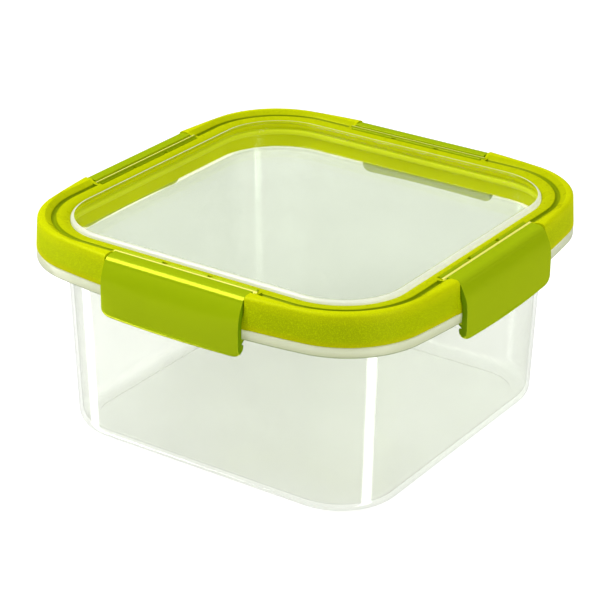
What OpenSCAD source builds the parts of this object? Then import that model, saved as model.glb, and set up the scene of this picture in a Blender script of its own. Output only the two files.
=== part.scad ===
// Square food container with a clear tub, a framed clear lid and four snap clips.
// Frame: origin at the middle of the base, +Z up, front towards -Y, right towards +X.
// Ring sections are drawn as (half width, height): half width is the distance from the
// container's centre plane to the section at the middle of a side.

/* [Overall] */
// Height of the closed container, to the crest of the lid
overall_h = 77.5; // [60:0.5:110]
// Half width over the rim, at the middle of a side
rim_half = 78.3; // [75:0.1:84]
// Radius of the crowned sides of the rim outline
side_r = 324; // [300:1:400]
// Radius of the corners of the rim outline
corner_r = 31; // [30:0.5:32]

/* [Tub] */
// Wall thickness of the tub
tub_wall = 1.2; // [1:0.05:1.3]
// Floor thickness of the tub, above the recess
tub_floor = 1.4; // [1.2:0.1:2]
// Radius of the bottom edge
base_edge_r = 4; // [3.5:0.1:5]
// How far the wall leans inwards from the flange to the base
tub_draft = 2.2; // [1:0.1:3]
// Height of the turned-down lip around the flange
lip_h = 3.5; // [3:0.1:4]
// Depth of the recess under the base, which leaves a foot ring
foot_recess = 0.8; // [0.4:0.1:1]

/* [Lid] */
// Depth of the clear window below the groove
window_depth = 9; // [7:0.5:9.5]
// Thickness of the clear window
window_t = 1.2; // [1:0.1:1.6]
// Width of the clear rim around the window
clear_rim_w = 2.4; // [2:0.1:2.6]
// Height of the green band's outer skirt
band_h = 11.2; // [11:0.1:11.4]
// Wall thickness of the skirt and the ribs
band_t = 1.5; // [1.2:0.1:1.8]
// Width of the groove between the ridge and the band
groove_w = 1.8; // [1.4:0.1:2]

/* [Clips] */
// Width of a clip along its side
clip_w = 54.8; // [40:0.2:56]
// Wall thickness of a clip
clip_t = 2; // [1.7:0.1:2.2]
// How far the foot of a clip hangs below the flange's lip
clip_drop = 6; // [5:0.1:8]
// Radius of the lower corners of a clip
clip_corner_r = 3; // [1.5:0.5:4]
// How far the hook reaches under the lip
hook_reach = 0.9; // [0.6:0.1:1]
// Radius of the rounded foot of a clip
foot_r = 1.5; // [1.2:0.1:1.6]
// Radius of the hinge rod
rod_r = 1; // [0.9:0.05:1.1]
// Radial running clearance of the hinge
rod_gap = 0.05; // [0.02:0.01:0.1]

/* [Hidden] */
$fn = 96;
eps = 0.02;
far = 200;
// How far a cutting shape reaches past the material it cuts
over = 1;
// Gap left between two pieces that meet face to face
joint_gap = 0.1;

// Colours
clear_colour = [0.88, 0.92, 0.86, 0.45];
window_colour = [0.9, 0.93, 0.87, 0.35];
band_colour = [0.76, 0.79, 0.05];
clip_colour = [0.65, 0.72, 0.02];
seal_colour = [0.72, 0.76, 0.25];

// Heights, from the crest down
crest_z = overall_h;
clip_top_z = crest_z - 0.3;
rod_top_z = crest_z - 0.6;
groove_edge_z = crest_z - 1.2;
groove_z = crest_z - 1.3;
ridge_z = crest_z - 1.1;
clear_joint_z = crest_z - 2.55;
clear_crest_z = crest_z - 0.8;
ledge_top_z = crest_z - 3.7;
ledge_z = crest_z - 4.9;
tub_top_z = crest_z - 7.1;
band_z = crest_z - band_h;
lip_top_z = band_z - joint_gap;
lip_z = lip_top_z - lip_h;
flange_top_z = crest_z - 12.5;
flange_t = 1.2;
lip_t = 1.3;
window_z = groove_z - window_depth;

// Half widths, from the rim inwards
band_lean = 0.6;
band_top_half = rim_half - band_lean;
crest_in_half = rim_half - 5.3;
groove_half = rim_half - 8.3;
rib_half = rim_half - 11.7;
wall_half = rim_half - 12.3;
base_half = wall_half - tub_draft;
clear_half = rim_half - 13.9;
ledge_half = rib_half - joint_gap;
// Distance from the centre to the corner centres of every straight-sided ring
corner_c = rim_half - 37.3;
foot_half = base_half - base_edge_r - 2.5;
inside_z = foot_recess + tub_floor;

// Crowned outline: side arcs of side_r and corner arcs of corner_r, tangent to each other
crown_y = rim_half - side_r;
crown_k = (crown_y + sqrt(2 * pow(side_r - corner_r, 2) - crown_y * crown_y)) / 2;
crown_a = atan2(crown_k, crown_k - crown_y);
corner_steps = 12;
side_steps = 10;

// Hinge of a clip, as (half width, height)
hinge_half = groove_half + 0.2;
hinge_z = rod_top_z - rod_r;
hinge_eye_r = 2;
hinge_room_r = 2.35;
hinge_eye_w = 16;
hinge_eye_pitch = 18;
hinge_rib_w = 1.6;
eye_open_from = 20;
eye_open_to = 150;

// Clip shell: its outer face is an arc that ends upright, then runs straight down
clip_gap = 0.35;
clip_half = rim_half + clip_gap + clip_t;
clip_arc_z = crest_z - 16.5;
clip_arc_r = 29.3;
clip_plate_z = clip_top_z - 1.5;
clip_foot_z = lip_z - clip_drop;
clip_slit = 0.15;
pocket_gap = 0.3;
pocket_w = clip_w + 2 * pocket_gap;
support_z = clip_plate_z - pocket_gap;
hook_gap = 0.25;
hook_h = 1.4;
// Up to this height the clip stands clear of the lip, however its face curves
lip_relief_z = lip_top_z + hook_gap;

// Drop of the crowned outline at a distance x from the middle of a side
function crown_drop(x) = side_r - sqrt(side_r * side_r - x * x);

// A point turned by a number of quarter turns
function quarter_turned(p, quarter) =
    quarter == 0 ? p : quarter_turned([-p.y, p.x], quarter - 1);

// The crowned outline moved out by d: a corner arc, then a side arc, for each quarter
function crown_outline(d) = [
    for (quarter = [0:3])
        each [
            for (i = [0:corner_steps - 1])
                let (a = crown_a + (90 - 2 * crown_a) * i / corner_steps)
                quarter_turned([crown_k, crown_k] + (corner_r + d) * [cos(a), sin(a)], quarter),
            for (i = [0:side_steps - 1])
                let (a = 90 - crown_a + 2 * crown_a * i / side_steps)
                quarter_turned([0, crown_y] + (side_r + d) * [cos(a), sin(a)], quarter)
        ]
];

// A rounded square with straight sides, as the points of its four corner arcs
function square_outline(half) = [
    for (quarter = [0:3])
        for (i = [0:corner_steps])
            let (a = 90 * i / corner_steps)
            quarter_turned([corner_c, corner_c] + (half - corner_c) * [cos(a), sin(a)], quarter)
];

// Sweeps a section around a rounded square with straight sides
module straight_ring() {
    for (turn = [0:90:270])
        rotate(turn) {
            translate([corner_c, corner_c, 0])
                rotate_extrude(angle = 90)
                    translate([-corner_c, 0]) children();
            along_side(2 * corner_c) children();
        }
}

// A slab of the crowned outline, with a hole, from a low to a high z
module crowned_slab(d, hole, low, high) {
    translate([0, 0, low])
        linear_extrude(high - low)
            difference() {
                polygon(crown_outline(d));
                polygon(hole);
            }
}

// Sweeps a section along one crowned side, over an angle each way from its middle
module crowned_side(half_angle) {
    translate([0, crown_y, 0])
        rotate_extrude(angle = 2 * half_angle, start = 90 - half_angle)
            translate([-crown_y, 0]) children();
}

// Extrudes a section straight along the +Y side
module along_side(length) {
    rotate([90, 0, 90]) linear_extrude(length, center = true) children();
}

// A section rectangle given by its two corners
module block(low, high) {
    translate(low) square(high - low);
}

// Everything inside the crowned face of the +Y side, moved out by a gap
module inside_crown(gap) {
    translate([0, crown_y, -far / 2]) cylinder(r = side_r + gap, h = 2 * far);
}

// ---- Tub ----

module tub_outer_section() {
    difference() {
        polygon([
            [corner_c, 0],
            [base_half, 0],
            [base_half, base_edge_r],
            [wall_half, flange_top_z],
            [wall_half, tub_top_z],
            [corner_c, tub_top_z]
        ]);
        difference() {
            block([base_half - base_edge_r, -over], [base_half + over, base_edge_r]);
            translate([base_half - base_edge_r, base_edge_r]) circle(base_edge_r);
        }
    }
}

module tub_inner_section() {
    inner_r = base_edge_r - tub_wall;
    inner_half = base_half - tub_wall;
    difference() {
        polygon([
            [corner_c - over, inside_z],
            [inner_half, inside_z],
            [inner_half, inside_z + inner_r],
            [wall_half - tub_wall, flange_top_z],
            [wall_half - tub_wall, tub_top_z + over],
            [corner_c - over, tub_top_z + over]
        ]);
        difference() {
            block([inner_half - inner_r, inside_z - over],
                  [inner_half + over, inside_z + inner_r]);
            translate([inner_half - inner_r, inside_z + inner_r]) circle(inner_r);
        }
    }
}

module tub_section() {
    difference() {
        tub_outer_section();
        tub_inner_section();
        block([corner_c - over, -over], [foot_half, foot_recess]);
    }
}

// The flange around the wall, and the lip that turns down from its edge
module tub_flange() {
    crowned_slab(-lip_t / 2, square_outline(wall_half - tub_wall / 2),
                 flange_top_z - flange_t, flange_top_z);
    crowned_slab(0, crown_outline(-lip_t), lip_z, lip_top_z);
}

module tub() {
    color(clear_colour) {
        straight_ring() tub_section();
        tub_flange();
        translate([-corner_c, -corner_c, foot_recess])
            cube([2 * corner_c, 2 * corner_c, tub_floor]);
    }
}

// ---- Clear lid panel ----

module panel_section() {
    bead_r = clear_rim_w / 2;
    plug_t = clear_rim_w - 0.6;
    wall_in = clear_half - plug_t;
    block([corner_c, window_z - window_t], [clear_half, window_z]);
    block([wall_in, window_z - window_t], [clear_half, clear_crest_z - bead_r]);
    block([wall_in, ledge_z], [ledge_half, ledge_top_z]);
    translate([clear_half - bead_r, clear_crest_z - bead_r]) circle(bead_r);
}

module lid_panel() {
    color(window_colour) {
        straight_ring() panel_section();
        translate([-corner_c, -corner_c, window_z - window_t])
            cube([2 * corner_c, 2 * corner_c, window_t]);
    }
}

// ---- Green lid frame ----

// The ridge beside the clear rim, the groove, the slope that rises from it to the crest,
// and the rib that stands around the tub's wall
module ridge_section() {
    weld_gap = 0.05;
    crest_step = 0.2;
    inner = clear_half + weld_gap;
    underside = ledge_top_z + weld_gap;
    ridge_mid = (inner + groove_half) / 2;
    difference() {
        polygon([
            [inner, underside],
            [rib_half, underside],
            [rib_half, flange_top_z + joint_gap],
            [rib_half + band_t, flange_top_z + joint_gap],
            [rib_half + band_t, underside],
            [crest_in_half + over, underside],
            [crest_in_half + over, crest_z - crest_step],
            [crest_in_half, crest_z - crest_step],
            [groove_half + groove_w / 2, groove_edge_z],
            [groove_half - groove_w / 2, groove_edge_z],
            [ridge_mid, ridge_z],
            [inner, clear_joint_z]
        ]);
        translate([groove_half, groove_edge_z]) circle(groove_w / 2);
    }
}

// The outer body of the band: a drafted skirt with a rounded shoulder
module band_body() {
    shoulder_r = 1.5;
    leaf = 0.01;
    hull() {
        translate([0, 0, band_z])
            linear_extrude(leaf) polygon(crown_outline(0));
        for (a = [0:22.5:90])
            translate([0, 0, crest_z - shoulder_r * (1 - sin(a)) - leaf])
                linear_extrude(leaf)
                    polygon(crown_outline(-band_lean - shoulder_r * (1 - cos(a))));
    }
}

module band() {
    difference() {
        band_body();
        translate([0, 0, band_z - over])
            linear_extrude(ledge_top_z - band_z + over) polygon(crown_outline(-band_t));
        translate([0, 0, band_z])
            linear_extrude(far) polygon(square_outline(crest_in_half));
    }
}

// The space inside an apron face of radius r, up to a height
module apron_section(r, top_z, bottom_z) {
    arc_half = clip_half - clip_arc_r;
    intersection() {
        union() {
            translate([arc_half, clip_arc_z]) circle(r);
            block([groove_half - 2, bottom_z], [arc_half + r, clip_arc_z]);
        }
        block([groove_half - 2, bottom_z], [clip_half + 1, top_z]);
    }
}

// The wall behind a clip, and the shelf that carries its hinge
module pocket_wall() {
    face_r = clip_arc_r - clip_t - pocket_gap;
    shelf_t = 3;
    skin = 0.1;
    intersection() {
        along_side(pocket_w + 2 * band_t)
            difference() {
                apron_section(face_r, support_z, band_z);
                apron_section(face_r - band_t, support_z - shelf_t, band_z - over);
            }
        inside_crown(-skin);
    }
}

// The upright walls at both ends of a pocket, which hold the rod
module pocket_ends() {
    wall_x = (pocket_w + band_t) / 2;
    inset = crown_drop(wall_x) + 0.4;
    shoulder_h = 1.9;
    shoulder_w = 1.3;
    foot_step = 0.6;
    for (side = [-1, 1])
        translate([side * wall_x, 0, 0])
            along_side(band_t)
                polygon([
                    [rib_half + band_t / 2, band_z + eps],
                    [rim_half - inset, band_z + eps],
                    [band_top_half - inset, crest_z - shoulder_h],
                    [band_top_half - shoulder_w - inset, rod_top_z],
                    [rib_half + band_t / 2, rod_top_z - foot_step]
                ]);
}

module pocket_room() {
    along_side(pocket_w) {
        difference() {
            block([hinge_half, band_z - over], [clip_half + 2 * over, crest_z + over]);
            apron_section(clip_arc_r - clip_t - pocket_gap, support_z, band_z - 2 * over);
        }
        translate([hinge_half, hinge_z]) circle(hinge_room_r);
    }
}

module hinge_rod() {
    rib_in = 2.5;
    rib_out = 0.9;
    rib_root = 0.5;
    translate([0, hinge_half, hinge_z])
        rotate([0, 90, 0])
            cylinder(r = rod_r, h = pocket_w + band_t, center = true);
    for (side = [-1, 1])
        translate([side * hinge_eye_pitch / 2, 0, 0])
            along_side(hinge_rib_w)
                block([hinge_half - rib_in, hinge_z - hinge_room_r - rib_root],
                      [hinge_half + rib_out, hinge_z]);
}

module lid_frame() {
    color(band_colour) {
        difference() {
            union() {
                straight_ring() ridge_section();
                band();
                for (turn = [0:90:270])
                    rotate(turn) {
                        pocket_wall();
                        pocket_ends();
                    }
            }
            for (turn = [0:90:270])
                rotate(turn) pocket_room();
        }
        for (turn = [0:90:270])
            rotate(turn) hinge_rod();
    }
}

// ---- Seal ----

module seal_section() {
    seal_gap = 0.05;
    seal_r = 0.9;
    middle = (clear_half + rib_half) / 2;
    translate([middle, tub_top_z + seal_gap + seal_r]) circle(seal_r);
    block([middle - seal_r, tub_top_z + seal_gap + seal_r],
          [middle + seal_r, ledge_z - seal_gap]);
}

module seal_ring() {
    color(seal_colour) straight_ring() seal_section();
}

// ---- Clips ----

// Outline of a clip seen from outside, with rounded lower corners
module clip_outline() {
    r = clip_corner_r;
    w = clip_w / 2;
    rotate([90, 0, 180])
        linear_extrude(far) {
            block([-w, clip_foot_z + r], [w, crest_z + over]);
            block([-w + r, clip_foot_z], [w - r, clip_foot_z + r + eps]);
            for (side = [-1, 1])
                translate([side * (w - r), clip_foot_z + r]) circle(r);
        }
}

module clip_shell() {
    difference() {
        intersection() {
            along_side(clip_w)
                intersection() {
                    apron_section(clip_arc_r, clip_top_z, clip_foot_z + foot_r);
                    block([hinge_half + rod_r + clip_slit, 0], [far, far]);
                }
            inside_crown(clip_gap + clip_t);
        }
        intersection() {
            along_side(clip_w + 2 * over) {
                apron_section(clip_arc_r - clip_t, clip_plate_z, clip_foot_z - over);
                block([groove_half, clip_arc_z], [clip_half, lip_relief_z]);
            }
            inside_crown(clip_gap);
        }
    }
}

// The hook that catches under the tub's lip, and the rounded foot for the finger
module clip_catches() {
    inner = rim_half + clip_gap;
    hook_top = lip_z - hook_gap;
    sweep_over = 0.3;
    sweep = asin(clip_w / 2 / side_r) + sweep_over;
    lead_in = 0.3;
    crowned_side(sweep) {
        polygon([
            [rim_half - hook_reach, hook_top],
            [inner + clip_t / 2, hook_top],
            [inner + clip_t / 2, hook_top - hook_h - over],
            [inner, hook_top - hook_h],
            [rim_half - hook_reach, hook_top - lead_in]
        ]);
        translate([clip_half - foot_r, clip_foot_z + foot_r]) circle(foot_r);
    }
}

// One open eye that snaps around the hinge rod
module clip_eye(length) {
    mouth_r = 3 * hinge_eye_r;
    mouth = eye_open_to - eye_open_from;
    along_side(length)
        translate([hinge_half, hinge_z])
            difference() {
                circle(hinge_eye_r);
                circle(rod_r + rod_gap);
                polygon([
                    [0, 0],
                    for (i = [0:3])
                        let (a = eye_open_from + mouth * i / 3)
                        mouth_r * [cos(a), sin(a)]
                ]);
            }
}

// Three eyes with a rib of the frame between each pair; the outer two reach the clip's ends
module clip_eyes() {
    outer_from = hinge_eye_pitch - hinge_eye_w / 2;
    outer_w = clip_w / 2 - outer_from;
    clip_eye(hinge_eye_w);
    for (side = [-1, 1])
        translate([side * (outer_from + outer_w / 2), 0, 0]) clip_eye(outer_w);
}

module clip(turn) {
    color(clip_colour)
        rotate(turn) {
            intersection() {
                union() {
                    clip_shell();
                    clip_catches();
                }
                clip_outline();
            }
            clip_eyes();
        }
}

module clip_back() { clip(0); }
module clip_left() { clip(90); }
module clip_front() { clip(180); }
module clip_right() { clip(270); }

tub();
lid_panel();
lid_frame();
seal_ring();
clip_front();
clip_right();
clip_back();
clip_left();
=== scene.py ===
"""Looks for a square snap lid food container: clear tub, framed clear lid, four clips."""
import math

import bmesh
import bpy
from mathutils import Matrix, Vector


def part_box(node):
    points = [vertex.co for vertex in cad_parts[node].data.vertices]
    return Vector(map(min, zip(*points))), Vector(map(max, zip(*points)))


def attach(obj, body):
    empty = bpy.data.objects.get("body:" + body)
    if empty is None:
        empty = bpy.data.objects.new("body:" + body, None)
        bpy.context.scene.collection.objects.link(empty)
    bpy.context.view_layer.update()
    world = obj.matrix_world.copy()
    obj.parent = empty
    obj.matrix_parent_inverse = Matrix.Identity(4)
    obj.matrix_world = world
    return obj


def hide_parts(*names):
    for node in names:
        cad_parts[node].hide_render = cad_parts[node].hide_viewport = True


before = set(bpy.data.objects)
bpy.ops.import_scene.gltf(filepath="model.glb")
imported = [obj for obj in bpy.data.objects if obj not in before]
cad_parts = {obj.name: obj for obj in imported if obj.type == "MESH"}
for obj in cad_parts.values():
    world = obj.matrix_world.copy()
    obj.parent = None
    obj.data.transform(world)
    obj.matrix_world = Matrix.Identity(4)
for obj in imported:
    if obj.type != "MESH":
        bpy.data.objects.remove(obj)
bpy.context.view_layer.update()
MM = 0.001

# ---- Sizes in millimetres, anchored to the CAD boxes ----
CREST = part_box("lid_frame")[1].z / MM
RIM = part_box("tub")[1].y / MM
TUB_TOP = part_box("tub")[1].z / MM
FOOT_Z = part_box("clip_front")[0].z / MM
SIDE_R, CORNER_R = 324.0, 31.0
CORNER_C = RIM - 37.3
GROOVE = RIM - 8.3
RIB = RIM - 11.7
WALL = RIM - 12.3
BASE = WALL - 2.2
CLEAR = RIM - 13.9
CREST_IN = RIM - 5.3
FOOT_IN = RIM - 21.0
TUB_T, FLOOR_Z, RECESS, EDGE_R = 1.2, 2.2, 0.8, 4.0
FLANGE_Z = CREST - 12.5
BAND_Z = CREST - 11.2
LIP_TOP = BAND_Z - 0.1
LIP_Z = LIP_TOP - 3.5
LIP_T = 1.3
ROD_TOP = CREST - 0.6
GROOVE_Z = CREST - 1.2
LEDGE_TOP = CREST - 3.7
LEDGE_Z = CREST - 4.9
WINDOW_Z = CREST - 10.3
HINGE_H, HINGE_Z = GROOVE + 0.2, ROD_TOP - 1.0
ROD_R, EYE_IN, EYE_R, ROOM_R = 1.0, 1.05, 2.0, 2.35
CLIP_T, CLIP_W, CLIP_GAP, CLIP_CORNER, HOOK_REACH = 2.0, 54.8, 0.35, 3.0, 0.9
CLIP_H = RIM + CLIP_GAP + CLIP_T
SHOULDER_R, BAND_R = 3.2, 1.5
ARC_Z, ARC_R = CREST - 16.5, 29.3
ARC_H = CLIP_H - ARC_R
CLIP_TOP = CREST - 0.3
POCKET_W = CLIP_W + 0.6
POCKET_R = ARC_R - CLIP_T - 0.3
FRAME_T, POCKET_END_T = 1.5, 1.5
RIB_X, RIB_HALF, EYE_PLAY = 9.0, 0.8, 0.2
SUPPORT_Z = CLIP_TOP - 1.8
CROWN_Y = RIM - SIDE_R
CROWN_K = (CROWN_Y + math.sqrt(2 * (SIDE_R - CORNER_R) ** 2 - CROWN_Y ** 2)) / 2
CROWN_A = math.atan2(CROWN_K, CROWN_K - CROWN_Y)
STRAIGHT = 30.0


# ---- Mesh helpers ----
def mesh_object(name, verts, faces):
    mesh = bpy.data.meshes.new(name)
    mesh.from_pydata([Vector(v) * MM for v in verts], [], faces)
    obj = bpy.data.objects.new(name, mesh)
    bpy.context.scene.collection.objects.link(obj)
    tidy(obj)
    return obj


def tidy(obj):
    """Merges doubles, drops degenerate faces and points every normal outwards."""
    bm = bmesh.new()
    bm.from_mesh(obj.data)
    bmesh.ops.remove_doubles(bm, verts=bm.verts, dist=1e-6)
    bmesh.ops.dissolve_degenerate(bm, edges=bm.edges, dist=1e-7)
    bmesh.ops.recalc_face_normals(bm, faces=bm.faces)
    bm.to_mesh(obj.data)
    bm.free()


def bake(obj):
    """Replaces an object's mesh by the result of its modifiers."""
    dg = bpy.context.evaluated_depsgraph_get()
    mesh = bpy.data.meshes.new_from_object(obj.evaluated_get(dg), depsgraph=dg)
    obj.modifiers.clear()
    obj.data = mesh


def carve(obj, operation, other):
    m = obj.modifiers.new("carve", "BOOLEAN")
    m.operation, m.solver, m.object = operation, "EXACT", other
    bake(obj)
    bpy.data.objects.remove(other)


def bevel(obj, width, segments, angle):
    m = obj.modifiers.new("bevel", "BEVEL")
    m.width, m.segments = width * MM, segments
    m.limit_method, m.angle_limit = "ANGLE", math.radians(angle)
    bake(obj)


def smooth(obj, angle=32):
    """Smooth shading, kept sharp across edges steeper than the angle."""
    mesh = obj.data
    mesh.polygons.foreach_set("use_smooth", [True] * len(mesh.polygons))
    mesh.set_sharp_from_angle(angle=math.radians(angle))


# ---- Rings: a section swept round the container ----
def ring_point(station, kind, value):
    """Where a ring of half width value ("sq") or crown offset value ("cr") passes a station."""
    quarter, part, t = station
    if part == "corner":
        if kind == "sq":
            a, c, r = math.pi / 2 * t, CORNER_C, value - CORNER_C
        else:
            a = CROWN_A + (math.pi / 2 - 2 * CROWN_A) * t
            c, r = CROWN_K, CORNER_R + value
        x, y = c + r * math.cos(a), c + r * math.sin(a)
    elif kind == "sq":
        x, y = t, value
    else:
        end = (SIDE_R + value) * math.sin(CROWN_A)
        x = t
        if abs(t) > STRAIGHT:
            share = (abs(t) - STRAIGHT) / (CORNER_C - STRAIGHT)
            x = math.copysign(STRAIGHT + share * (end - STRAIGHT), t)
        y = CROWN_Y + math.sqrt((SIDE_R + value) ** 2 - x * x)
    for _ in range(quarter):
        x, y = -y, x
    return x, y


CORNER_STEPS, SIDE_STEPS = 28, 20


def corner_stations(quarter, start, end):
    steps = round(CORNER_STEPS * (end - start))
    return [(quarter, "corner", start + (end - start) * i / steps) for i in range(steps)]


def side_stations(quarter):
    return [(quarter, "side", CORNER_C * (1 - 2 * i / SIDE_STEPS)) for i in range(SIDE_STEPS)]


def full_stations():
    out = []
    for quarter in range(4):
        out += corner_stations(quarter, 0, 1) + side_stations(quarter)
    return out


def side_quarter():
    """One side with half a corner at each end."""
    return (corner_stations(0, 0.5, 1) + side_stations(0) + corner_stations(1, 0, 0.5)
            + [(1, "corner", 0.5)])


def loft(name, stations, section, loop, wrap):
    """Sweeps a section. loop: the section closes on itself. wrap: the stations do."""
    n, m = len(stations), len(section)
    verts = [(*ring_point(s, k, v), z) for s in stations for k, v, z in section]
    faces = []
    for i in range(n if wrap else n - 1):
        j = (i + 1) % n
        for k in range(m if loop else m - 1):
            q = (k + 1) % m
            faces.append((i * m + k, i * m + q, j * m + q, j * m + k))
    if not loop:
        faces += [[i * m for i in range(n)], [i * m + m - 1 for i in range(n)]]
    if not wrap:
        faces += [list(range(m)), [(n - 1) * m + k for k in range(m)]]
    return mesh_object(name, verts, faces)


def arc(kind, cx, cz, r, start, end, steps=5):
    """Section points on a circle, angles in degrees from +half width towards +Z."""
    out = []
    for i in range(steps + 1):
        a = math.radians(start + (end - start) * i / steps)
        out.append((kind, cx + r * math.cos(a), cz + r * math.sin(a)))
    return out


# ---- Side parts: a profile in (half width, height) moved along the +Y side ----
def side_loft(name, profile, xs):
    """profile(x) gives the closed profile at a distance x from the middle of the side."""
    rows = [profile(x) for x in xs]
    m = len(rows[0])
    verts = [(x, h, z) for x, row in zip(xs, rows) for h, z in row]
    faces = [list(range(m)), [(len(xs) - 1) * m + k for k in range(m)]]
    for i in range(len(xs) - 1):
        for k in range(m):
            q = (k + 1) % m
            faces.append((i * m + k, i * m + q, (i + 1) * m + q, (i + 1) * m + k))
    return mesh_object(name, verts, faces)


def steps(low, high, count):
    return [low + (high - low) * i / count for i in range(count + 1)]


def crown(x, offset):
    """Half width of the crowned side at a distance x from its middle."""
    return CROWN_Y + math.sqrt((SIDE_R + offset) ** 2 - x * x)


def arc_face(z, r):
    """Half width of the clip's curved face, upright below the arc's centre."""
    return ARC_H + math.sqrt(r * r - max(z - ARC_Z, 0) ** 2)


def soft_min(a, b, k=0.8):
    h = max(k - abs(a - b), 0) / k
    return min(a, b) - h * h * k / 4


def circle(h, z, r, start, end, count):
    return [(h + r * math.cos(math.radians(a)), z + r * math.sin(math.radians(a)))
            for a in steps(start, end, count)]


# ---- Tub ----
def make_tub():
    inner, inner_r, r = BASE - TUB_T, EDGE_R - TUB_T, 0.3
    section = [("sq", FOOT_IN - r, RECESS)]
    section += arc("sq", FOOT_IN, r, r, 180, 270, 3)
    section += arc("sq", BASE - EDGE_R, EDGE_R, EDGE_R, -90, 0, 10)
    section += [("sq", WALL - 0.05, FLANGE_Z - 1.2 - 0.6)]
    section += arc("sq", WALL + 0.6, FLANGE_Z - 1.8, 0.6, 180, 90, 4)
    section += arc("cr", -LIP_T - 0.4, FLANGE_Z - 1.6, 0.4, 90, 0, 3)
    section += arc("cr", -LIP_T + r, LIP_Z + r, r, 180, 270, 3)
    section += arc("cr", -0.45, LIP_Z + 0.45, 0.45, -90, 0, 5)
    section += arc("cr", -r, LIP_TOP - r, r, 0, 90, 3)
    section += [("cr", -LIP_T, LIP_TOP), ("cr", -LIP_T, FLANGE_Z)]
    section += arc("sq", WALL + 0.4, FLANGE_Z + 0.4, 0.4, -90, -180, 3)
    section += arc("sq", WALL - r, TUB_TOP - r, r, 0, 90, 3)
    section += arc("sq", WALL - TUB_T + r, TUB_TOP - r, r, 90, 180, 3)
    section += [("sq", WALL - TUB_T, FLANGE_Z)]
    section += arc("sq", inner - inner_r, FLOOR_Z + inner_r, inner_r, 0, -90, 10)
    return loft("tub_visual", full_stations(), section, False, True)


# ---- Clear window of the lid ----
def make_panel():
    bead, under, r = 1.2, WINDOW_Z - 1.2, 0.35
    top = CREST - 0.8
    section = arc("sq", CLEAR - 1.0, under + 1.0, 1.0, -90, 0, 5)
    section += [("sq", CLEAR, LEDGE_Z)]
    section += arc("sq", RIB - 0.1 - r, LEDGE_Z + r, r, -90, 0, 3)
    section += arc("sq", RIB - 0.1 - r, LEDGE_TOP - r, r, 0, 90, 3)
    section += [("sq", CLEAR, LEDGE_TOP)]
    section += arc("sq", CLEAR - bead, top - bead, bead, 0, 180, 12)
    section += [("sq", CLEAR - 1.8, top - bead - 1.1)]
    section += arc("sq", CLEAR - 2.6, WINDOW_Z + 0.8, 0.8, 0, -90, 5)
    return loft("lid_window_visual", full_stations(), section, False, True)


# ---- Green frame of the lid ----
def frame_section():
    inner, under, rib_z, t = CLEAR + 0.05, LEDGE_TOP + 0.05, FLANGE_Z + 0.1, FRAME_T
    section = [("sq", inner, under), ("sq", RIB, under)]
    section += arc("sq", RIB + 0.3, rib_z + 0.3, 0.3, 180, 270, 3)
    section += arc("sq", RIB + t - 0.3, rib_z + 0.3, 0.3, -90, 0, 3)
    section += [("sq", RIB + t, under), ("cr", -t, under)]
    section += arc("cr", -t + 0.25, BAND_Z + 0.25, 0.25, 180, 270, 3)
    section += arc("cr", -0.45, BAND_Z + 0.45, 0.45, -90, 0, 4)
    section += arc("cr", -0.6 - BAND_R, CREST - BAND_R, BAND_R, 0, 90, 9)
    slope = math.degrees(math.atan2(CREST - GROOVE_Z, CREST_IN - GROOVE - 0.9))
    blend = 0.8
    section += arc("sq", CREST_IN + blend * math.tan(math.radians(slope / 2)), CREST - blend, blend,
                   90, 90 + slope, 7)
    section += [("sq", GROOVE + 1.1, GROOVE_Z + 0.1)]
    section += arc("sq", GROOVE, GROOVE_Z, 0.9, -8, -172, 12)
    section += [("sq", GROOVE - 1.1, GROOVE_Z + 0.04),
                ("sq", (CLEAR + GROOVE) / 2 + 0.8, CREST - 1.07),
                ("sq", (CLEAR + GROOVE) / 2, CREST - 1.1),
                ("sq", (CLEAR + GROOVE) / 2 - 1.2, CREST - 1.4),
                ("sq", inner + 0.4, CREST - 2.1), ("sq", inner, CREST - 2.55)]
    return section


def pocket_wall(x):
    back = POCKET_R - FRAME_T
    outer = [(min(arc_face(z, POCKET_R), crown(x, -0.1)), z)
             for z in steps(BAND_Z, SUPPORT_Z, 14)]
    inner = [(min(arc_face(z, back), crown(x, -1.6)), z)
             for z in steps(SUPPORT_Z - 3, BAND_Z, 10)]
    return outer + [(GROOVE - 2, SUPPORT_Z), (GROOVE - 2, SUPPORT_Z - 3)] + inner


def pocket_end(x):
    inset = SIDE_R - math.sqrt(SIDE_R ** 2 - x * x) + 0.4
    return [(RIB + 0.75, BAND_Z + 0.02), (RIM - inset, BAND_Z + 0.02),
            (RIM - 0.6 - inset, CREST - 1.9), (RIM - 1.9 - inset, ROD_TOP),
            (RIB + 0.75, ROD_TOP - 0.6)]


def pocket_room(_x):
    room = [(HINGE_H, CREST + 1), (CLIP_H + 2, CREST + 1), (CLIP_H + 2, BAND_Z - 1)]
    room += [(arc_face(z, POCKET_R), z) for z in steps(BAND_Z - 1, SUPPORT_Z, 14)]
    return room + [(HINGE_H, SUPPORT_Z)]


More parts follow.
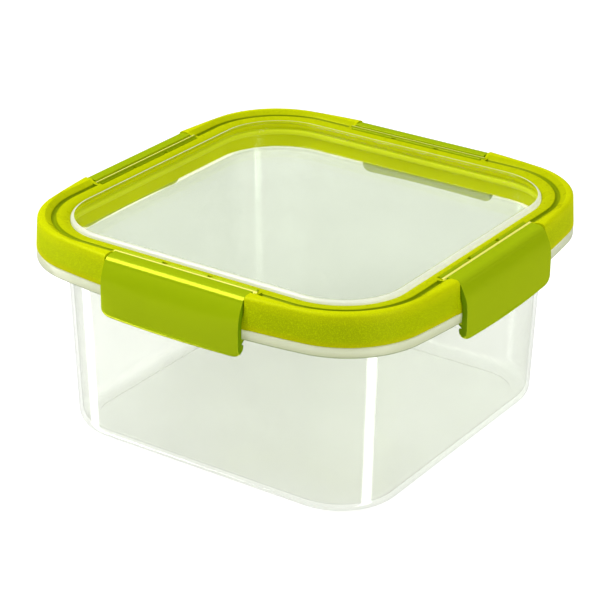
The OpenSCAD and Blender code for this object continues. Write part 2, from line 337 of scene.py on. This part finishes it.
def around(obj, name):
    """Four copies of a side quarter, joined along the diagonals into one closed ring."""
    bm = bmesh.new()
    bm.from_mesh(obj.data)
    flat = [f for f in bm.faces
            if all(abs(abs(v.co.x) - abs(v.co.y)) < 2e-6 for v in f.verts)]
    bmesh.ops.delete(bm, geom=flat, context="FACES")
    source = bm.faces[:] + bm.edges[:] + bm.verts[:]
    for turn in (1, 2, 3):
        copy = bmesh.ops.duplicate(bm, geom=source)["geom"]
        bmesh.ops.rotate(bm, cent=(0, 0, 0), matrix=Matrix.Rotation(math.pi / 2 * turn, 3, "Z"),
                         verts=[v for v in copy if isinstance(v, bmesh.types.BMVert)])
    bmesh.ops.remove_doubles(bm, verts=bm.verts, dist=6e-6)
    bmesh.ops.dissolve_degenerate(bm, edges=bm.edges, dist=2e-6)
    bmesh.ops.holes_fill(bm, edges=[e for e in bm.edges if e.is_boundary], sides=3)
    bmesh.ops.delete(bm, geom=[e for e in bm.edges if e.is_wire], context="EDGES")
    bmesh.ops.recalc_face_normals(bm, faces=bm.faces)
    mesh = bpy.data.meshes.new(name)
    bm.to_mesh(mesh)
    bm.free()
    bpy.data.objects.remove(obj)
    ring = bpy.data.objects.new(name, mesh)
    bpy.context.scene.collection.objects.link(ring)
    return ring


def make_frame():
    half = POCKET_W / 2
    side = loft("frame_side", side_quarter(), frame_section(), True, False)
    carve(side, "UNION", side_loft("w", pocket_wall, steps(-half - POCKET_END_T, half + POCKET_END_T, 16)))
    for s in (-1, 1):
        xs = sorted((s * half, s * (half + POCKET_END_T)))
        carve(side, "UNION", side_loft("e", pocket_end, xs))
    carve(side, "DIFFERENCE", side_loft("r", pocket_room, [-half, half]))
    ring = circle(HINGE_H, HINGE_Z, ROOM_R, 0, 352.5, 47)
    carve(side, "DIFFERENCE", side_loft("c", lambda _x: ring, [-half, half]))
    low, high = HINGE_Z - ROOM_R - 0.5, HINGE_Z
    rib = [(HINGE_H - 2.5, low), (HINGE_H + 0.9, low), (HINGE_H + 0.9, high), (HINGE_H - 2.5, high)]
    for middle in (-RIB_X, RIB_X):
        carve(side, "UNION", side_loft("b", lambda _x: rib, [middle - RIB_HALF, middle + RIB_HALF]))
    rod = circle(HINGE_H, HINGE_Z, ROD_R, 0, 352.5, 47)
    carve(side, "UNION", side_loft("h", lambda _x: rod, [-half - 0.75, half + 0.75]))
    return around(side, "lid_frame_visual")


# ---- Seal ----
def make_seal():
    middle, r = (CLEAR + RIB) / 2, 0.9
    base = TUB_TOP + 0.05 + r
    section = arc("sq", middle, base, r, 180, 360, 12)
    section += arc("sq", middle + r - 0.2, LEDGE_Z - 0.25, 0.2, 0, 90, 3)
    section += arc("sq", middle - r + 0.2, LEDGE_Z - 0.25, 0.2, 90, 180, 3)
    return loft("seal_visual", full_stations(), section, True, True)


# ---- Clips ----
def clip_profile(x):
    """One slice of a clip: top, curved face, rounded foot, hook, inner face."""
    def out(z):
        return soft_min(arc_face(z, ARC_R), crown(x, CLIP_GAP + CLIP_T))

    def back(z):
        face = CLIP_H if z < LIP_TOP + 0.25 else arc_face(z, ARC_R - CLIP_T)
        return min(face, crown(x, CLIP_GAP))

    foot_r, hook_z = 1.5, LIP_Z - 0.25
    foot_h = crown(x, CLIP_GAP + CLIP_T) - foot_r
    near_end = max(abs(x) - (CLIP_W / 2 - CLIP_CORNER), 0) / CLIP_CORNER
    foot_z = FOOT_Z + foot_r + 2.0 * (1 - math.sqrt(1 - min(near_end, 1) ** 2))
    top = 180 - math.degrees(math.asin(min((hook_z - 1.45 - foot_z) / foot_r, 0.93)))
    edge, plate_in = out(CLIP_TOP), HINGE_H + ROD_R + 0.15
    tilt = math.degrees(math.asin((CLIP_TOP - ARC_Z) / ARC_R))
    reach = SHOULDER_R * math.tan(math.radians((90 - tilt) / 2))
    points = [(plate_in, CLIP_TOP)]
    points += circle(edge - reach, CLIP_TOP - SHOULDER_R, SHOULDER_R, 90, tilt, 7)
    points += [(out(z), z) for z in steps(CLIP_TOP - 1.6, foot_z + 0.3, 26)]
    points += circle(foot_h, foot_z, foot_r, 0, -180, 14)
    points += circle(foot_h, foot_z, foot_r, 180, top, 5)[1:]
    points += [(back(hook_z), hook_z - 1.4), (crown(x, -HOOK_REACH), hook_z - 0.3),
               (crown(x, -HOOK_REACH), hook_z)]
    points += [(back(z), z) for z in steps(hook_z, CLIP_TOP - 1.5, 22)]
    points += [(plate_in, CLIP_TOP - 1.5)]
    return points


def clip_eye(_x):
    mouth = (20, 150 - 360)
    outer = circle(HINGE_H, HINGE_Z, EYE_R, mouth[0], mouth[1], 34)
    inner = circle(HINGE_H, HINGE_Z, EYE_IN, mouth[1], mouth[0], 34)
    return outer + inner


def clip_slices():
    """Slice positions, close together where the lower corners round off."""
    half = CLIP_W / 2
    flat = half - CLIP_CORNER
    right = [flat + CLIP_CORNER * math.sin(math.radians(a)) for a in (0, 20, 38, 54, 68, 80, 90)]
    return [-x for x in reversed(right)] + steps(-flat, flat, 16)[1:-1] + right


def make_clip():
    clip = side_loft("clip_shape", clip_profile, clip_slices())
    bevel(clip, 0.22, 3, 40)
    end, clear = CLIP_W / 2 - 0.02, RIB_HALF + EYE_PLAY
    for low, high in ((-end, -RIB_X - clear), (-RIB_X + clear, RIB_X - clear), (RIB_X + clear, end)):
        carve(clip, "UNION", side_loft("eye", clip_eye, [low, high]))
    tidy(clip)
    return clip


# ---- Materials ----
class Nodes:
    """A small builder for node materials."""

    def __init__(self, name):
        self.material = bpy.data.materials.new(name)
        self.material.use_nodes = True
        self.tree = self.material.node_tree
        self.tree.nodes.clear()
        self.output = self.add("ShaderNodeOutputMaterial")
        self.place = self.add("ShaderNodeTexCoord").outputs["Object"]

    def add(self, kind, **settings):
        node = self.tree.nodes.new(kind)
        for key, value in settings.items():
            setattr(node, key, value)
        return node

    def link(self, source, target):
        self.tree.links.new(source, target)

    def noise(self, scale, detail=3.0, rough=0.55):
        node = self.add("ShaderNodeTexNoise")
        node.inputs["Scale"].default_value = scale
        node.inputs["Detail"].default_value = detail
        node.inputs["Roughness"].default_value = rough
        self.link(self.place, node.inputs["Vector"])
        return node.outputs["Fac"]

    def remap(self, value, low, high, start=0.0, end=1.0):
        node = self.add("ShaderNodeMapRange")
        for key, number in (("From Min", start), ("From Max", end), ("To Min", low), ("To Max", high)):
            node.inputs[key].default_value = number
        self.link(value, node.inputs["Value"])
        return node.outputs["Result"]

    def mix_colour(self, factor, a, b):
        node = self.add("ShaderNodeMix", data_type="RGBA")
        self.link(factor, node.inputs[0])
        for socket, colour in ((node.inputs[6], a), (node.inputs[7], b)):
            if isinstance(colour, tuple):
                socket.default_value = (*colour, 1)
            else:
                self.link(colour, socket)
        return node.outputs[2]

    def bump(self, height, strength, distance, normal=None):
        node = self.add("ShaderNodeBump")
        node.inputs["Strength"].default_value = strength
        node.inputs["Distance"].default_value = distance * MM
        self.link(height, node.inputs["Height"])
        if normal is not None:
            self.link(normal, node.inputs["Normal"])
        return node.outputs["Normal"]

    def maths(self, operation, a, b):
        node = self.add("ShaderNodeMath", operation=operation)
        for socket, value in zip(node.inputs, (a, b)):
            if isinstance(value, (int, float)):
                socket.default_value = value
            else:
                self.link(value, socket)
        return node.outputs[0]

    def outer_sheen(self, head_on, grazing):
        """Mirror share of a skin seen from outside: none on the inner side of a surface,
        where a straight-through ray would wrongly be thrown back."""
        rise = self.maths("POWER", self.facing(0.5), 5.0)
        share = self.remap(rise, head_on, grazing)
        return self.maths("MULTIPLY", share, self.outer_side())

    def outer_side(self):
        """1 where a ray meets a surface from outside, 0 from inside."""
        return self.maths("SUBTRACT", 1.0, self.add("ShaderNodeNewGeometry").outputs["Backfacing"])

    def facing(self, blend):
        node = self.add("ShaderNodeLayerWeight")
        node.inputs["Blend"].default_value = blend
        return node.outputs["Facing"]


def clear_plastic(name, tint, body, haze, grazing, rough, sheen=0.04, mirror=0.85, outside=False):
    """Thin translucent plastic: light passes straight through, with a milky share that
    grows towards grazing angles, under a glossy skin. outside: only the outer side of the
    surface is milky."""
    n = Nodes(name)
    clear = n.add("ShaderNodeBsdfTransparent")
    cloud = n.remap(n.noise(38, 4), 0.97, 1.02)
    tint_node = n.add("ShaderNodeMix", data_type="RGBA", blend_type="MULTIPLY")
    tint_node.inputs[0].default_value = 1
    tint_node.inputs[6].default_value = (*tint, 1)
    n.link(cloud, tint_node.inputs[7])
    n.link(tint_node.outputs[2], clear.inputs["Color"])
    skin = n.bump(n.noise(22, 2), 0.05, 0.04)
    milk = n.add("ShaderNodeBsdfPrincipled")
    milk.inputs["Roughness"].default_value = rough
    milk.inputs["IOR"].default_value = 1.49
    n.link(n.mix_colour(n.noise(60, 3), body, tuple(0.94 * c for c in body)), milk.inputs["Base Color"])
    n.link(skin, milk.inputs["Normal"])
    glow = n.add("ShaderNodeBsdfTranslucent")
    glow.inputs["Color"].default_value = (*body, 1)
    soft = n.add("ShaderNodeMixShader")
    soft.inputs[0].default_value = 0.5
    n.link(milk.outputs[0], soft.inputs[1])
    n.link(glow.outputs[0], soft.inputs[2])
    share = n.remap(n.facing(0.35), haze, grazing)
    if outside:
        share = n.maths("MULTIPLY", share, n.outer_side())
    body_mix = n.add("ShaderNodeMixShader")
    n.link(share, body_mix.inputs[0])
    n.link(clear.outputs[0], body_mix.inputs[1])
    n.link(soft.outputs[0], body_mix.inputs[2])
    gloss = n.add("ShaderNodeBsdfGlossy")
    gloss.inputs["Roughness"].default_value = rough
    n.link(skin, gloss.inputs["Normal"])
    total = n.add("ShaderNodeMixShader")
    n.link(n.outer_sheen(sheen, mirror), total.inputs[0])
    n.link(body_mix.outputs[0], total.inputs[1])
    n.link(gloss.outputs[0], total.inputs[2])
    n.link(total.outputs[0], n.output.inputs["Surface"])
    return n.material


# Light gathered along the frosted band's edges: share, height where it is full, height
# where it has faded out, colour
EDGE_LIGHT = ((0.6, BAND_Z, BAND_Z + 2.6, (0.5, 0.47, 0.0)),
              (0.5, CREST, CREST - 4.5, (0.56, 0.58, 0.0)))


def green_plastic(name, light, dark, rough, grain, grain_scale, glow=0.4, lit=0.0, frosted=False,
                  sheen=0.035):
    """Moulded yellow-green plastic: flow-marked colour, light scattered inside, a surface
    grain, and a skin whose gloss keeps the warm tint of the plastic. glow is the scattered
    share, lit the strength of a painted glow in the plastic's colour, standing in for light
    that arrives from inside the wall, sheen the gloss seen head-on. frosted adds pale specks
    as painted glints and painted light along the band's edges."""
    n = Nodes(name)
    bsdf = n.add("ShaderNodeBsdfPrincipled")
    base = n.mix_colour(n.noise(45, 3), dark, light)
    if frosted:
        # Pale specks: painted glints on the frosted grain.
        painted_glints = n.remap(n.noise(grain_scale, 1, 0.6), 0, 0.6, 0.45, 0.68)
        base = n.mix_colour(painted_glints, base, tuple(1.6 * c for c in light))
        height = n.add("ShaderNodeSeparateXYZ")
        n.link(n.place, height.inputs[0])
        for share, full, none, edge_colour in EDGE_LIGHT:
            edge_light = n.remap(height.outputs["Z"], share, 0.0, full * MM, none * MM)
            base = n.mix_colour(edge_light, base, edge_colour)
    n.link(base, bsdf.inputs["Base Color"])
    # Emission in the base colour, strength lit: a painted glow.
    n.link(base, bsdf.inputs["Emission Color"])
    bsdf.inputs["Emission Strength"].default_value = lit
    bsdf.inputs["Roughness"].default_value = 0.8
    bsdf.inputs["Specular IOR Level"].default_value = 0.0
    bsdf.inputs["Subsurface Weight"].default_value = glow
    bsdf.inputs["Subsurface Radius"].default_value = (0.0035, 0.004, 0.0004)
    edge = n.add("ShaderNodeBevel", samples=4)
    edge.inputs["Radius"].default_value = 0.25 * MM
    surface = n.bump(n.noise(grain_scale, 2, 0.6), grain, 0.12, edge.outputs[0])
    n.link(surface, bsdf.inputs["Normal"])
    skin = n.add("ShaderNodeBsdfGlossy")
    skin.inputs["Color"].default_value = (1.0, 1.0, 0.07, 1)
    n.link(n.remap(n.noise(grain_scale * 0.5, 2), rough * 0.85, rough * 1.15), skin.inputs["Roughness"])
    n.link(surface, skin.inputs["Normal"])
    total = n.add("ShaderNodeMixShader")
    n.link(n.remap(n.maths("POWER", n.facing(0.5), 4.0), sheen, 0.35), total.inputs[0])
    n.link(bsdf.outputs[0], total.inputs[1])
    n.link(skin.outputs[0], total.inputs[2])
    n.link(total.outputs[0], n.output.inputs["Surface"])
    return n.material


def seal_rubber():
    n = Nodes("soft_seal")
    bsdf = n.add("ShaderNodeBsdfPrincipled")
    base = n.mix_colour(n.noise(90, 3), (0.42, 0.47, 0.0), (0.46, 0.52, 0.0))
    n.link(base, bsdf.inputs["Base Color"])
    # Emission in the seal's colour: a painted glow.
    n.link(base, bsdf.inputs["Emission Color"])
    bsdf.inputs["Emission Strength"].default_value = 0.45
    n.link(n.remap(n.noise(300, 2), 0.55, 0.7), bsdf.inputs["Roughness"])
    n.link(n.bump(n.noise(900, 2), 0.2, 0.05), bsdf.inputs["Normal"])
    n.link(bsdf.outputs[0], n.output.inputs["Surface"])
    return n.material


TUB_MAT = clear_plastic("clear_tub", (0.981, 0.986, 0.972), (0.96, 0.98, 0.93),
                        haze=0.05, grazing=0.4, rough=0.12)
# Green milk in the clear neck: painted green light, standing in for light bled from the green frame.
NECK_GREEN_LIGHT_MAT = clear_plastic("clear_neck_painted_green_light", (0.985, 0.99, 0.93), (0.62, 0.68, 0.03),
                         haze=0.01, grazing=0.05, rough=0.1, sheen=0.01, mirror=0.1)
LIP_MAT = clear_plastic("clear_lip", (0.97, 0.975, 0.89), (0.89, 0.91, 0.72),
                        haze=0.72, grazing=0.9, rough=0.25, sheen=0.01, mirror=0.12)
# Darker lower edge of the lip: painted shade.
LIP_EDGE_SHADE_MAT = clear_plastic("clear_lip_edge_painted_shade", (0.9, 0.92, 0.8), (0.42, 0.48, 0.27),
                             haze=0.75, grazing=0.9, rough=0.3, sheen=0.01, mirror=0.1)
WINDOW_MAT = clear_plastic("clear_window", (0.85, 0.88, 0.82), (0.88, 0.93, 0.8),
                           haze=0.05, grazing=0.25, rough=0.07)
# Green milk in the clear plug wall: painted green light from the frame behind it.
PLUG_GREEN_LIGHT_MAT = clear_plastic("clear_plug_wall_painted_green_light", (0.985, 0.99, 0.88), (0.6, 0.66, 0.02),
                         haze=0.01, grazing=0.04, rough=0.07, sheen=0.01, mirror=0.1)
# Milky white on the outer side of the clear rim: painted light, standing in for light refracted through
# the bead.
RIM_PAINTED_LIGHT_MAT = clear_plastic("clear_rim_painted_light", (0.99, 0.99, 0.96), (1.0, 1.0, 0.97),
                        haze=0.85, grazing=0.92, rough=0.2, sheen=0.03, mirror=0.25, outside=True)
FROSTED = green_plastic("frosted_green", (0.34, 0.41, 0.0), (0.26, 0.33, 0.0),
                        rough=0.36, grain=0.8, grain_scale=3000, frosted=True)
SMOOTH = green_plastic("smooth_green", (0.38, 0.43, 0.0), (0.35, 0.4, 0.0),
                       rough=0.28, grain=0.05, grain_scale=500)
# Dark green: painted shade in the groove and on the hinge rod's hidden side.
GROOVE_SHADE_MAT = green_plastic("groove_painted_shade", (0.17, 0.24, 0.0), (0.15, 0.21, 0.0),
                           rough=0.4, grain=0.05, grain_scale=500)
# Lighter green with emission: a painted glow on the frame's inner walls.
INNER_GLOW_MAT = green_plastic("inner_painted_glow", (0.44, 0.48, 0.0), (0.41, 0.45, 0.0),
                          rough=0.5, grain=0.05, grain_scale=500, lit=0.45)
# Pale yellow: a painted highlight along the hinge rod.
ROD_HIGHLIGHT_MAT = green_plastic("rod_painted_highlight", (0.72, 0.7, 0.16), (0.69, 0.67, 0.14),
                        rough=0.25, grain=0.03, grain_scale=500)
CLIP_MAT = green_plastic("glossy_green", (0.25, 0.355, 0.0), (0.23, 0.33, 0.0),
                         rough=0.22, grain=0.05, grain_scale=700, glow=0.2, sheen=0.1)
# Lighter and emitting: a painted glow on the clip's inner face and hook.
CLIP_BACK_GLOW_MAT = green_plastic("clip_inner_painted_glow", (0.42, 0.49, 0.03), (0.39, 0.46, 0.02),
                              rough=0.4, grain=0.05, grain_scale=700, glow=0.2, lit=0.35)
# Dark green: painted shade on the clip's end faces.
CLIP_END_SHADE_MAT = green_plastic("clip_end_painted_shade", (0.13, 0.24, 0.0), (0.11, 0.21, 0.0),
                             rough=0.35, grain=0.05, grain_scale=700, glow=0.1)
SEAL_MAT = seal_rubber()


def square_half(p):
    """Half width of the straight-sided ring through a point, in mm."""
    x, y = abs(p.x) / MM, abs(p.y) / MM
    if x < CORNER_C or y < CORNER_C:
        return max(x, y)
    return CORNER_C + math.hypot(x - CORNER_C, y - CORNER_C)


def paint(obj, materials, choose):
    """choose(half width, height, polygon) gives the index of a face's material."""
    obj.data.materials.clear()
    for m in materials:
        obj.data.materials.append(m)
    for p in obj.data.polygons:
        p.material_index = choose(square_half(p.center), p.center.z / MM, p)


def tub_finish(h, z, _p):
    """0 walls and floor, 1 lip, 2 neck above the flange, tinted with painted green light, 3 lower edge of
    the lip, darkened as painted shade.
    """
    if h > RIM - 5 and z > LIP_Z - 1:
        # The lip's lower edge is painted darker as shade.
        return 1 if z > LIP_Z + 0.45 else 3
    return 2 if z > FLANGE_Z else 0


def panel_finish(h, z, _p):
    """0 sunken window, 1 outer half of the raised rim, painted milky white as light, 2 plug wall, tinted
    with painted green light.
    """
    if h < CLEAR - 2.4:
        return 0
    # The rim's outer half is painted milky white as light; the plug wall is tinted with painted green
    # light.
    return 1 if z > CREST - 3.4 and h > CLEAR - 1.15 else 2


def frame_finish(h, z, p):
    """0 frosted band, 1 smooth ridge and slope, 2 groove and the rest of the hinge rod, painted shade, 3
    inner walls with a painted glow, 4 hinge rod's upper outer face, painted pale as a highlight.
    """
    across, along = (abs(v) / MM for v in (max(p.center.xy, key=abs), min(p.center.xy, key=abs)))
    if along < POCKET_W / 2:
        outward = max(p.normal.xy, key=abs) * max(p.center.xy, key=abs)
        reach = math.hypot(across - HINGE_H, z - HINGE_Z)
        if reach < ROD_R + 0.02:
            # Upper outer face of the rod painted pale as a highlight, the rest painted shade.
            return 4 if outward > 0 and p.normal.z > -0.3 or p.normal.z > 0.985 else 2
        if reach < ROOM_R + 0.3:
            return 1
    # Painted shade in the groove.
    elif abs(h - GROOVE) < 0.95 and GROOVE_Z - 1.0 < z < GROOVE_Z:
        return 2
    # Painted glow on the inner walls.
    if h < RIB + 1.6 and z < CREST - 2.6:
        return 3
    return int(h < GROOVE + 2.0 and z > GROOVE_Z - 3.0)


def clip_finish(_h, z, p):
    """0 outside, 1 on the inner face that looks at the tub and on the hook, painted lighter with a glow, 2
    on the two end faces, painted dark as shade.
    """
    side = int(abs(p.center.y) > abs(p.center.x))
    # End faces painted dark as shade.
    if abs(p.normal[1 - side]) > 0.9 and abs(p.center[side]) / MM > HINGE_H + 2:
        return 2
    inward = p.normal[side] * p.center[side] < 0
    hook = z < LIP_Z and abs(p.center[side]) / MM < CLIP_H - 1.8
    # Inner face and hook painted lighter with a glow.
    return int(hook or inward and abs(p.normal.z) < 0.7 and z < SUPPORT_Z - 2)


# ---- Build the pieces and hang them on the CAD bodies ----
def hang(piece, body, node):
    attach(piece, body)
    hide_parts(node)


tub = make_tub()
paint(tub, (TUB_MAT, LIP_MAT, NECK_GREEN_LIGHT_MAT, LIP_EDGE_SHADE_MAT), tub_finish)
smooth(tub)
hang(tub, "tub", "tub")

panel = make_panel()
paint(panel, (WINDOW_MAT, RIM_PAINTED_LIGHT_MAT, PLUG_GREEN_LIGHT_MAT), panel_finish)
smooth(panel)
hang(panel, "lid", "lid_panel")

lid_frame = make_frame()
paint(lid_frame, (FROSTED, SMOOTH, GROOVE_SHADE_MAT, INNER_GLOW_MAT, ROD_HIGHLIGHT_MAT), frame_finish)
smooth(lid_frame, 28)
hang(lid_frame, "lid", "lid_frame")

seal = make_seal()
paint(seal, (SEAL_MAT,), lambda _h, _z, _p: 0)
smooth(seal)
hang(seal, "lid", "seal_ring")

master = make_clip()
for turn, side in enumerate(("back", "left", "front", "right")):
    mesh = master.data.copy()
    mesh.transform(Matrix.Rotation(math.pi / 2 * turn, 4, "Z"))
    clip = bpy.data.objects.new(f"clip_{side}_visual", mesh)
    bpy.context.scene.collection.objects.link(clip)
    paint(clip, (CLIP_MAT, CLIP_BACK_GLOW_MAT, CLIP_END_SHADE_MAT), clip_finish)
    smooth(clip, 28)
    hang(clip, f"clip_{side}", f"clip_{side}")
bpy.data.objects.remove(master)


# ---- Floor, light and camera ----
def pale_floor():
    n = Nodes("pale_floor")
    bsdf = n.add("ShaderNodeBsdfPrincipled")
    n.link(n.mix_colour(n.noise(3, 2), (0.6, 0.6, 0.6), (0.62, 0.62, 0.62)), bsdf.inputs["Base Color"])
    bsdf.inputs["Roughness"].default_value = 0.9
    bsdf.inputs["Emission Color"].default_value = (1, 1, 1, 1)
    seen = n.add("ShaderNodeLightPath").outputs["Is Camera Ray"]
    n.link(n.remap(seen, 0.12, 0.55), bsdf.inputs["Emission Strength"])
    n.link(bsdf.outputs[0], n.output.inputs["Surface"])
    mesh = bpy.data.meshes.new("floor")
    size = 12.0
    mesh.from_pydata([(-size, -size, 0), (size, -size, 0), (size, size, 0), (-size, size, 0)], [],
                     [(0, 1, 2, 3)])
    floor = bpy.data.objects.new("floor", mesh)
    floor.location.z = -0.0002
    mesh.materials.append(n.material)
    floor.visible_glossy = False
    bpy.context.scene.collection.objects.link(floor)


def area_light(name, place, size, power, height=None, glossy_only=False):
    data = bpy.data.lights.new(name, "AREA")
    data.energy, data.size = power, size
    if height is not None:
        data.shape, data.size_y = "RECTANGLE", height
    light = bpy.data.objects.new(name, data)
    light.location = place
    light.visible_diffuse = not glossy_only
    light.visible_camera = False
    light.visible_transmission = not glossy_only
    light.rotation_mode = "QUATERNION"
    light.rotation_quaternion = (Vector((0, 0, 0.04)) - Vector(place)).to_track_quat("-Z", "Y")
    bpy.context.scene.collection.objects.link(light)


def camera():
    data = bpy.data.cameras.new("camera")
    data.sensor_width, data.lens = 36.0, 135.86
    data.clip_start, data.clip_end = 0.01, 50
    cam = bpy.data.objects.new("camera", data)
    azimuth, elevation, roll = (math.radians(v) for v in (34.25, 24.98, 0.433))
    back = Vector((math.sin(azimuth) * math.cos(elevation),
                   -math.cos(azimuth) * math.cos(elevation), math.sin(elevation)))
    right = Vector((math.cos(azimuth), math.sin(azimuth), 0))
    up = back.cross(right)
    side = right * math.cos(roll) + up * math.sin(roll)
    top = up * math.cos(roll) - right * math.sin(roll)
    focus = Vector((0, 0, (CREST - 1.3) * MM))
    distance, aside, upwards = 0.7736, 0.003045, 0.033
    cam.matrix_world = Matrix((
        (side.x, top.x, back.x, 0), (side.y, top.y, back.y, 0), (side.z, top.z, back.z, 0),
        (0, 0, 0, 1)))
    cam.location = focus + back * distance - side * aside - top * upwards
    bpy.context.scene.collection.objects.link(cam)
    bpy.context.scene.camera = cam


def studio_sky():
    """White light, strongest overhead, weaker at the horizon, and floor-white below it.
    The camera itself sees plain white."""
    sky = bpy.data.worlds.new("studio")
    sky.use_nodes = True
    tree = sky.node_tree
    split = tree.nodes.new("ShaderNodeSeparateXYZ")
    tree.links.new(tree.nodes.new("ShaderNodeTexCoord").outputs["Generated"], split.inputs[0])
    ramp = tree.nodes.new("ShaderNodeValToRGB")
    for place, level in ((0.0, 0.9), (0.49, 0.9), (0.53, 0.32), (1.0, 1.0)):
        stop = ramp.color_ramp.elements.new(place)
        stop.color = (level, level, level, 1)
    ramp.color_ramp.elements.remove(ramp.color_ramp.elements[0])
    ramp.color_ramp.elements.remove(ramp.color_ramp.elements[-1])
    scale = tree.nodes.new("ShaderNodeMapRange")
    scale.inputs["From Min"].default_value = -1.0
    tree.links.new(split.outputs["Z"], scale.inputs["Value"])
    tree.links.new(scale.outputs["Result"], ramp.inputs["Fac"])
    plain = tree.nodes.new("ShaderNodeMix")
    plain.data_type = "RGBA"
    tree.links.new(tree.nodes.new("ShaderNodeLightPath").outputs["Is Camera Ray"], plain.inputs[0])
    tree.links.new(ramp.outputs["Color"], plain.inputs[6])
    plain.inputs[7].default_value = (1.05, 1.05, 1.05, 1)
    tree.links.new(plain.outputs[2], tree.nodes["Background"].inputs["Color"])
    tree.nodes["Background"].inputs["Strength"].default_value = 0.95
    return sky


def strip(name, azimuth, width, power):
    """A tall soft box below eye level, seen only as a highlight in the glossy walls."""
    a, e, far = math.radians(azimuth), math.radians(-24), 0.7
    place = (far * math.sin(a) * math.cos(e), -far * math.cos(a) * math.cos(e), far * math.sin(e))
    area_light(name, place, width, power, 0.75, True)


world = studio_sky()
bpy.context.scene.world = world
bpy.context.scene.view_settings.view_transform = "Standard"
bpy.context.scene.cycles.transparent_max_bounces = 48
bpy.context.scene.cycles.diffuse_bounces = 6
pale_floor()
area_light("key", (-0.46, -0.38, 0.7), 0.5, 6.5)
area_light("fill", (0.62, -0.1, 0.4), 0.45, 1.8)
strip("strip_near", 77, 0.17, 6.0)
strip("strip_left", -60, 0.2, 5.0)
camera()
